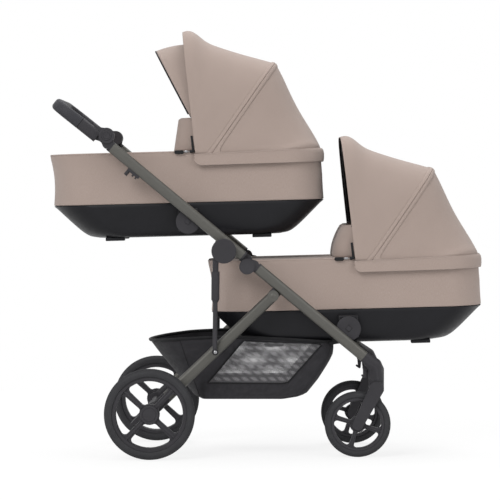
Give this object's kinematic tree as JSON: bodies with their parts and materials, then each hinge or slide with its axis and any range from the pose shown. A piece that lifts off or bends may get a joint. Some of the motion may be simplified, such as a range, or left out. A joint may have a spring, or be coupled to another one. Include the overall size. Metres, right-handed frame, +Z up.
{
  "type": "twin pram",
  "caption": "Twin pram with a folding chassis on wheels, two hooded cots one above and behind the other, a shopping basket and a tilting handle.",
  "frame": {"origin": "on the floor under the centre of the whole pram's bounding box", "axes": "+X towards the pram's front, +Y towards its left side, +Z up"},
  "size_m": [1.4034, 0.62, 1.3798],
  "materials": {
    "frame_metal": "satin gunmetal paint",
    "dark_plastic": "fine-grained dark grey plastic",
    "cot_plastic": "satin black plastic",
    "grip": "stitched matte leatherette",
    "tyre": "dull rubber",
    "fabric": "melange taupe weave",
    "basket_fabric": "dark coated weave",
    "net": "open knitted net",
    "lining": "soft quilted cotton"
  },
  "bodies": {
    "chassis": {"front_tubes": "frame_metal", "front_elbows": "dark_plastic", "hinge_sockets": "dark_plastic", "leg_brackets": "dark_plastic", "front_crossbar": "frame_metal", "lower_adapters": "dark_plastic", "basket_tray": "basket_fabric", "basket_mesh": "net"},
    "upper_frame": {"push_tubes": "frame_metal", "hinge_knuckles": "dark_plastic", "handle_hubs": "dark_plastic", "strut_discs": "dark_plastic", "upper_adapters": "dark_plastic", "accessory_clips": "dark_plastic"},
    "handle": {"handle_bar": "dark_plastic", "handle_grip": "grip"},
    "handle_button_left": {"handle_button_left": "dark_plastic"},
    "handle_button_right": {"handle_button_right": "dark_plastic"},
    "leg_frame": {"rear_legs": "frame_metal", "leg_ends": "dark_plastic", "rear_axle": "dark_plastic"},
    "brake": {"brake_pedal": "dark_plastic"},
    "strut_sleeves": {"strut_sleeves": "dark_plastic"},
    "strut_rods": {"strut_rods": "dark_plastic"},
    "rear_wheel_left": {"rear_tyre_left": "tyre", "rear_rim_left": "dark_plastic"},
    "fork_left": {"fork_left": "dark_plastic"},
    "front_wheel_left": {"front_tyre_left": "tyre", "front_rim_left": "dark_plastic"},
    "swivel_lock_left": {"swivel_lock_left": "dark_plastic"},
    "upper_release_left": {"upper_release_left": "dark_plastic"},
    "lower_release_left": {"lower_release_left": "dark_plastic"},
    "rear_wheel_right": {"rear_tyre_right": "tyre", "rear_rim_right": "dark_plastic"},
    "fork_right": {"fork_right": "dark_plastic"},
    "front_wheel_right": {"front_tyre_right": "tyre", "front_rim_right": "dark_plastic"},
    "swivel_lock_right": {"swivel_lock_right": "dark_plastic"},
    "upper_release_right": {"upper_release_right": "dark_plastic"},
    "lower_release_right": {"lower_release_right": "dark_plastic"},
    "upper_cot": {"upper_cot_shell": "fabric", "upper_cot_base": "cot_plastic", "upper_mattress": "lining", "upper_apron": "fabric", "upper_hood_skirt": "fabric", "upper_hood_rear": "fabric", "upper_hood_front": "fabric"},
    "upper_hood_hoop": {"upper_hood_hoop": "dark_plastic"},
    "upper_hood_bow": {"upper_hood_bow": "dark_plastic"},
    "upper_visor": {"upper_visor": "fabric"},
    "lower_cot": {"lower_cot_shell": "fabric", "lower_cot_base": "cot_plastic", "lower_mattress": "lining", "lower_apron": "fabric", "lower_hood_skirt": "fabric", "lower_hood_rear": "fabric", "lower_hood_front": "fabric"},
    "lower_hood_hoop": {"lower_hood_hoop": "dark_plastic"},
    "lower_hood_bow": {"lower_hood_bow": "dark_plastic"},
    "lower_visor": {"lower_visor": "fabric"}
  },
  "joints": [
    {"name": "frame_fold", "type": "hinge", "parent": "chassis", "child": "upper_frame", "pos_m": [-0.063, 0, 0.614], "axis": [0, -1, 0], "range_deg": [0, 135], "deforming": ["basket_tray", "basket_mesh"]},
    {"name": "leg_fold", "type": "hinge", "parent": "chassis", "child": "leg_frame", "pos_m": [0.02021, 0, 0.5201], "axis": [0, -1, 0], "range_deg": [0, 62]},
    {"name": "strut_swing", "type": "hinge", "parent": "upper_frame", "child": "strut_sleeves", "pos_m": [-0.13652, 0, 0.66399], "axis": [0, -1, 0], "range_deg": [-102, 0]},
    {"name": "strut_slide", "type": "slide", "parent": "strut_sleeves", "child": "strut_rods", "axis": [0.0078, 0, 1], "range_m": [0, 0.035]},
    {"name": "upper_cot_lift", "type": "slide", "parent": "chassis", "child": "upper_cot", "axis": [0, 0, 1], "range_m": [0, 0.45]},
    {"name": "lower_cot_lift", "type": "slide", "parent": "chassis", "child": "lower_cot", "axis": [0, 0, 1], "range_m": [0, 0.45]},
    {"name": "handle_tilt", "type": "hinge", "parent": "upper_frame", "child": "handle", "pos_m": [-0.50979, 0, 1.03081], "axis": [0, -1, 0], "range_deg": [-45, 35]},
    {"name": "handle_button_left_press", "type": "slide", "parent": "upper_frame", "child": "handle_button_left", "axis": [0, -1, 0], "range_m": [0, 0.003], "stiffness_N_per_m": 400},
    {"name": "upper_release_left_press", "type": "slide", "parent": "upper_frame", "child": "upper_release_left", "axis": [0, -1, 0], "range_m": [0, 0.003], "stiffness_N_per_m": 400},
    {"name": "lower_release_left_press", "type": "slide", "parent": "chassis", "child": "lower_release_left", "axis": [0, -1, 0], "range_m": [0, 0.003], "stiffness_N_per_m": 400},
    {"name": "rear_wheel_left_spin", "type": "hinge", "parent": "leg_frame", "child": "rear_wheel_left", "pos_m": [-0.373, 0.288, 0.145], "axis": [0, 1, 0], "continuous": true},
    {"name": "fork_left_swivel", "type": "hinge", "parent": "chassis", "child": "fork_left", "pos_m": [0.352, 0.208, 0.246], "axis": [0, 0, 1], "continuous": true},
    {"name": "front_wheel_left_spin", "type": "hinge", "parent": "fork_left", "child": "front_wheel_left", "pos_m": [0.292, 0.208, 0.106], "axis": [0, 1, 0], "continuous": true},
    {"name": "swivel_lock_left_flip", "type": "hinge", "parent": "chassis", "child": "swivel_lock_left", "pos_m": [0.3155, 0.208, 0.288], "axis": [0, 1, 0], "range_deg": [0, 20]},
    {"name": "handle_button_right_press", "type": "slide", "parent": "upper_frame", "child": "handle_button_right", "axis": [0, 1, 0], "range_m": [0, 0.003], "stiffness_N_per_m": 400},
    {"name": "upper_release_right_press", "type": "slide", "parent": "upper_frame", "child": "upper_release_right", "axis": [0, 1, 0], "range_m": [0, 0.003], "stiffness_N_per_m": 400},
    {"name": "lower_release_right_press", "type": "slide", "parent": "chassis", "child": "lower_release_right", "axis": [0, 1, 0], "range_m": [0, 0.003], "stiffness_N_per_m": 400},
    {"name": "rear_wheel_right_spin", "type": "hinge", "parent": "leg_frame", "child": "rear_wheel_right", "pos_m": [-0.373, -0.288, 0.145], "axis": [0, 1, 0], "continuous": true},
    {"name": "fork_right_swivel", "type": "hinge", "parent": "chassis", "child": "fork_right", "pos_m": [0.352, -0.208, 0.246], "axis": [0, 0, 1], "continuous": true},
    {"name": "front_wheel_right_spin", "type": "hinge", "parent": "fork_right", "child": "front_wheel_right", "pos_m": [0.292, -0.208, 0.106], "axis": [0, 1, 0], "continuous": true},
    {"name": "swivel_lock_right_flip", "type": "hinge", "parent": "chassis", "child": "swivel_lock_right", "pos_m": [0.3155, -0.208, 0.288], "axis": [0, 1, 0], "range_deg": [0, 20]},
    {"name": "brake_press", "type": "hinge", "parent": "leg_frame", "child": "brake", "pos_m": [-0.373, 0, 0.145], "axis": [0, -1, 0], "range_deg": [0, 18]},
    {"name": "upper_hood_fold", "type": "hinge", "parent": "upper_cot", "child": "upper_hood_hoop", "pos_m": [-0.22519, 0, 0.94442], "axis": [0, 1, 0], "range_deg": [0, 26], "deforming": ["upper_hood_rear", "upper_hood_front"]},
    {"name": "upper_bow_fold", "type": "hinge", "parent": "upper_hood_hoop", "child": "upper_hood_bow", "pos_m": [-0.22519, 0, 0.94442], "axis": [0, 1, 0], "range_deg": [0, 26]},
    {"name": "upper_visor_swing", "type": "hinge", "parent": "upper_hood_bow", "child": "upper_visor", "pos_m": [-0.23267, 0, 1.08722], "axis": [0, 1, 0], "range_deg": [0, 22]},
    {"name": "lower_hood_fold", "type": "hinge", "parent": "lower_cot", "child": "lower_hood_hoop", "pos_m": [0.28804, 0, 0.60216], "axis": [0, 1, 0], "range_deg": [0, 26], "deforming": ["lower_hood_rear", "lower_hood_front"]},
    {"name": "lower_bow_fold", "type": "hinge", "parent": "lower_hood_hoop", "child": "lower_hood_bow", "pos_m": [0.28804, 0, 0.60216], "axis": [0, 1, 0], "range_deg": [0, 26]},
    {"name": "lower_visor_swing", "type": "hinge", "parent": "lower_hood_bow", "child": "lower_visor", "pos_m": [0.28055, 0, 0.74496], "axis": [0, -1, 0], "range_deg": [0, 12]}
  ],
  "couplings": [
    {"joint": "leg_fold", "follows": "frame_fold", "ratio": 0.45926},
    {"joint": "strut_swing", "follows": "frame_fold", "ratio": -0.7494},
    {"joint": "strut_slide", "follows": "frame_fold", "m_per_rad": 0.014797},
    {"joint": "upper_cot_lift", "follows": "frame_fold", "m_per_rad": 0.19098},
    {"joint": "lower_cot_lift", "follows": "frame_fold", "m_per_rad": 0.19098},
    {"joint": "upper_bow_fold", "follows": "upper_hood_fold", "ratio": 1},
    {"joint": "lower_bow_fold", "follows": "lower_hood_fold", "ratio": 1}
  ]
}
